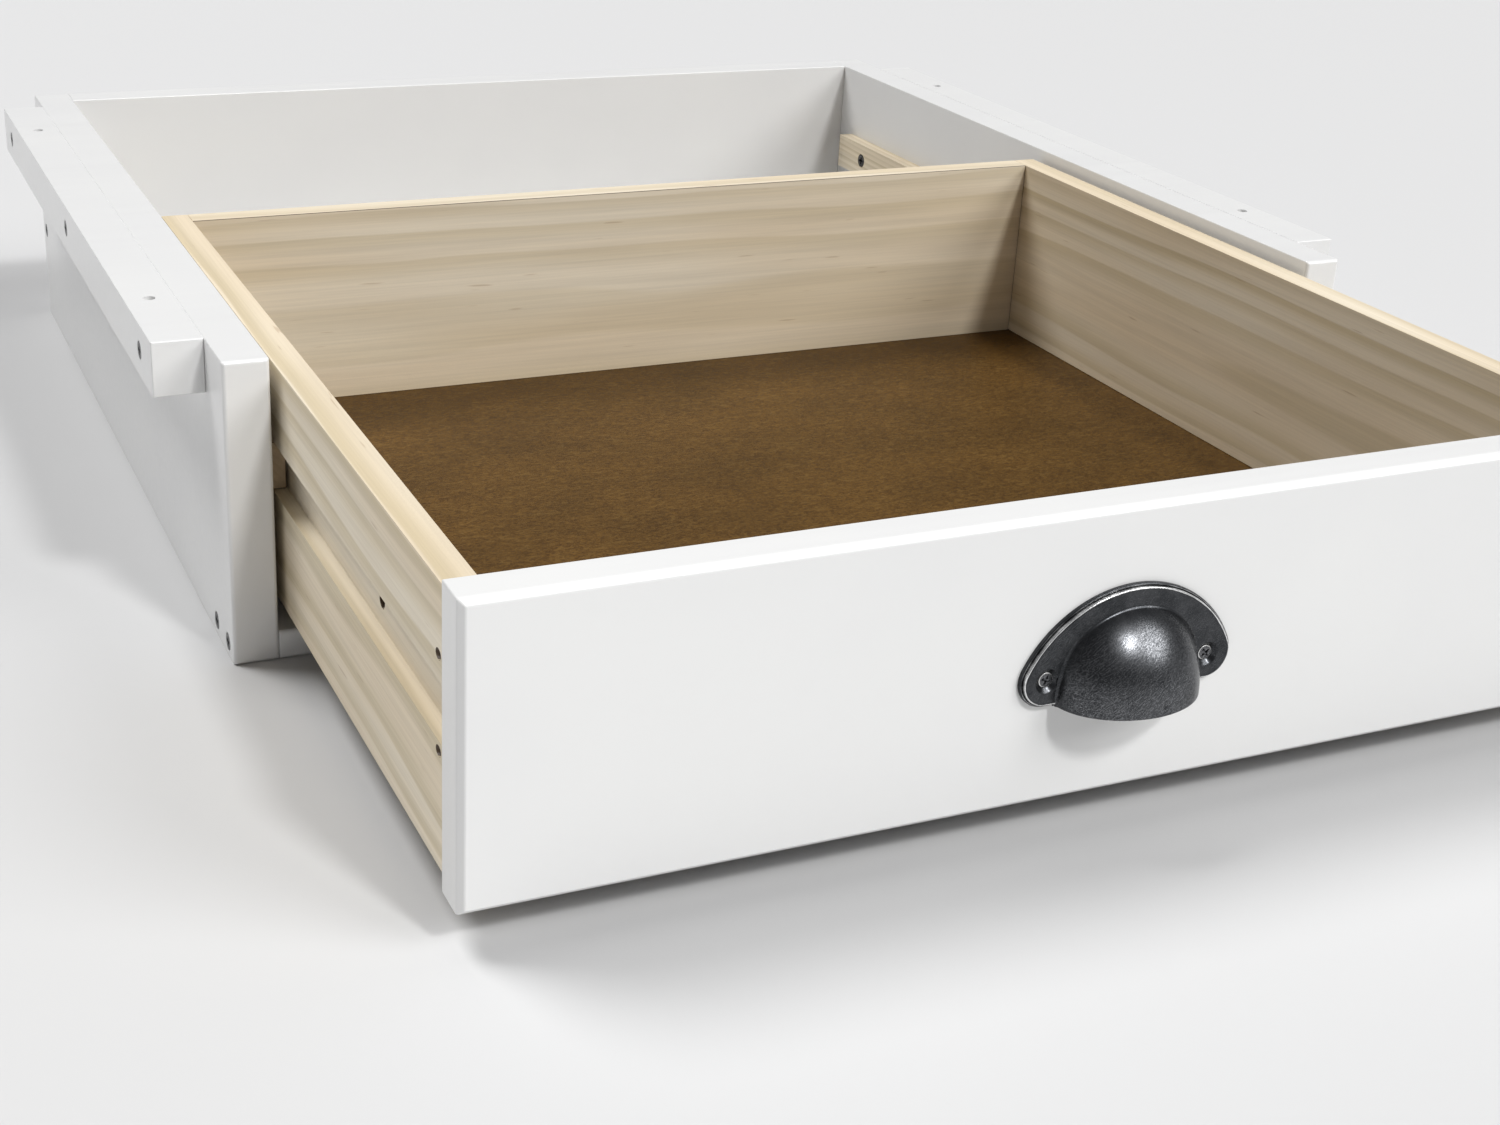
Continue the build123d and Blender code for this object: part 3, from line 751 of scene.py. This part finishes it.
def cup_pull():
    """The cast pull: a stepped flange and a hollow dome in one piece, with countersinks for two screws."""
    pull = flange_solid()
    for side in (-1, 1):
        combine(pull, sink_solid(side), "DIFFERENCE")
    outside = flared(dome_rows(LIP_PROFILE, DOME_BACK, DOME_FILLET), DOME_FILLET)
    combine(pull, dome_solid("dome", outside, 0), "UNION")
    inside = dome_rows(THROAT_PROFILE, THROAT_BACK, 0)
    combine(pull, dome_solid("hollow", inside, THROAT_DROP), "DIFFERENCE")
    shade(pull, radians(38))
    mark_wear(pull, pull_wear)
    pull.data.materials.clear()
    pull.data.materials.append(pull_metal())
    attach(pull, "drawer")
    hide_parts("cup_pull")


# ---------------------------------------------------------------- pull screws


def recess_share(across, up):
    """How deep the cross recess is at a point of the head, from 0 to 1."""
    deepest = 0.0
    for along, aside in ((abs(across), abs(up)), (abs(up), abs(across))):
        end = (RECESS_ARM - along) / (0.25 * MM)
        wall = (RECESS_SLOT * (1.15 - 0.3 * along / RECESS_ARM) - aside) / (0.14 * MM)
        inside = max(0.0, min(1.0, end, wall))
        deepest = max(deepest, inside * (1 - 0.5 * along / RECESS_ARM))
    return deepest


def screw_rings(length, turn):
    """Rings of (place across, place up, depth below the head's rim) from the head's middle to the point."""
    angles = [2 * pi * i / HEAD_CORNERS for i in range(HEAD_CORNERS)]
    rings = []
    for i in range(1, HEAD_STEPS + 1):
        radius = HEAD_RADIUS * i / HEAD_STEPS
        crown = HEAD_CROWN * (1 - (radius / HEAD_RADIUS) ** 4)
        ring = []
        for a in angles:
            cut = recess_share(radius * cos(a + turn), radius * sin(a + turn))
            ring.append((radius * cos(a), radius * sin(a), cut * RECESS_DEPTH - crown))
        rings.append(ring)
    neck = 0.25 * MM + HEAD_RADIUS - SHANK_RADIUS
    under_head = ((HEAD_RADIUS + 0.05 * MM, 0.1 * MM), (HEAD_RADIUS, 0.25 * MM), (SHANK_RADIUS, neck))
    for radius, depth in under_head:
        rings.append([(radius * cos(a), radius * sin(a), depth) for a in angles])
    steps = floor((length - neck) / (THREAD_PITCH / 8))
    for i in range(1, steps + 1):
        depth = neck + (length - neck) * i / steps
        narrow = min(1.0, (length - depth) / (3.5 * MM) + 0.03)
        ring = []
        for a in angles:
            phase = (depth / THREAD_PITCH + a / (2 * pi)) % 1
            thread = max(0.0, 1 - 2.6 * abs(phase - 0.5)) * min(1.0, (depth - neck) / THREAD_PITCH)
            radius = narrow * (SHANK_RADIUS - THREAD_DEPTH * (1 - thread))
            ring.append((radius * cos(a), radius * sin(a), depth))
        rings.append(ring)
    return rings


def pull_screw(name, side, turn, material):
    """One of the pull's screws: a crowned head with a cross recess, and a threaded shank."""
    head_out = PULL_FACE - HEAD_BELOW_FACE
    rings = screw_rings(screw_high.y - pull_high.y + head_out, turn)
    axis = side * half_spacing
    places = [[on_pull(axis + u, v, head_out - depth) for u, v, depth in ring] for ring in rings]
    screw = capped_loft(name, places)
    shade(screw, radians(50))

    def rim_wear(place):
        from_axis = sqrt((place.x - axis) ** 2 + (place.z - screw_level) ** 2)
        on_head = pull_high.y - place.y > head_out - 0.3 * MM
        return peak(from_axis, 0.95 * HEAD_RADIUS, 0.45 * MM) if on_head else 0.0

    mark_wear(screw, rim_wear)
    screw.data.materials.clear()
    screw.data.materials.append(material)
    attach(screw, "drawer")
    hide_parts(f"pull_screw_{name.split('_')[-1]}")


# ---------------------------------------------------------------- stage


def soft_light(name, towards, spread, strength):
    """A far, broad light from a direction. Its strength is the brightness of white that faces it."""
    light = bpy.data.lights.new(name, "SUN")
    light.angle = spread
    light.energy = strength * pi
    lamp = bpy.data.objects.new(name, light)
    lamp.rotation_euler = Vector(towards).to_track_quat("Z", "Y").to_euler()
    lamp.location = Vector(towards).normalized() * LAMP_DISTANCE
    bpy.context.scene.collection.objects.link(lamp)


def studio_world():
    """Soft light from all round: pale near the horizon and dimmer above."""
    world = bpy.data.worlds.new("studio")
    world.use_nodes = True
    tree = world.node_tree
    coordinates = tree.nodes.new("ShaderNodeTexCoord")
    parts = tree.nodes.new("ShaderNodeSeparateXYZ")
    ramp = tree.nodes.new("ShaderNodeValToRGB")
    tree.links.new(coordinates.outputs["Generated"], parts.inputs[0])
    tree.links.new(parts.outputs["Z"], ramp.inputs[0])
    tree.links.new(ramp.outputs[0], tree.nodes["Background"].inputs["Color"])
    ramp.color_ramp.elements[0].position = 0.03
    ramp.color_ramp.elements[0].color = (0.45, 0.45, 0.455, 1)
    ramp.color_ramp.elements[1].position = 0.28
    ramp.color_ramp.elements[1].color = (0.13, 0.13, 0.135, 1)
    bpy.context.scene.world = world


def floor_plane():
    """A plain pale floor that the frame stands on."""
    made = bmesh.new()
    bmesh.ops.create_grid(made, x_segments=1, y_segments=1, size=FLOOR_HALF_WIDTH)
    floor_mesh = bpy.data.meshes.new("floor")
    made.to_mesh(floor_mesh)
    made.free()
    plane = bpy.data.objects.new("floor", floor_mesh)
    plane.location.z = cad_low.z - FLOOR_GAP
    bpy.context.scene.collection.objects.link(plane)
    g = Graph("floor_pale")
    g.shader.inputs["Base Color"].default_value = (0.62, 0.62, 0.62, 1)
    g.shader.inputs["Roughness"].default_value = 0.8
    plane.data.materials.append(g.material)


def camera():
    """The camera, in front of the drawer's left end and above it."""
    lens = bpy.data.cameras.new("camera")
    lens.lens = CAMERA_LENS
    lens.shift_x, lens.shift_y = CAMERA_SHIFT
    lens.clip_start = 0.01
    viewer = bpy.data.objects.new("camera", lens)
    low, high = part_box("drawer_front")
    face_middle = Vector(((low.x + high.x) / 2, low.y, (low.z + high.z) / 2))
    viewer.location = face_middle + CAMERA_FROM_FRONT
    level = cos(CAMERA_ELEVATION)
    to_camera = Vector((sin(CAMERA_AZIMUTH) * level, -cos(CAMERA_AZIMUTH) * level, sin(CAMERA_ELEVATION)))
    viewer.rotation_mode = "QUATERNION"
    viewer.rotation_quaternion = to_camera.to_track_quat("Z", "Y") @ Quaternion((0, 0, 1), CAMERA_ROLL)
    bpy.context.scene.collection.objects.link(viewer)
    bpy.context.scene.camera = viewer


dress_boards()
dress_fixings()
cup_pull()
screw_material = darkened_steel()
pull_screw("cross_screw_left", -1, radians(20), screw_material)
pull_screw("cross_screw_right", 1, radians(52), screw_material)

soft_light("key", (0.6, -0.55, 0.58), radians(30), 0.46)
soft_light("sparkle", (0.2, -0.64, 0.74), radians(7), 0.42)
soft_light("top", (-0.32, 0.36, 0.87), radians(24), 0.68)
studio_world()
floor_plane()
camera()
bpy.context.scene.view_settings.view_transform = "Standard"
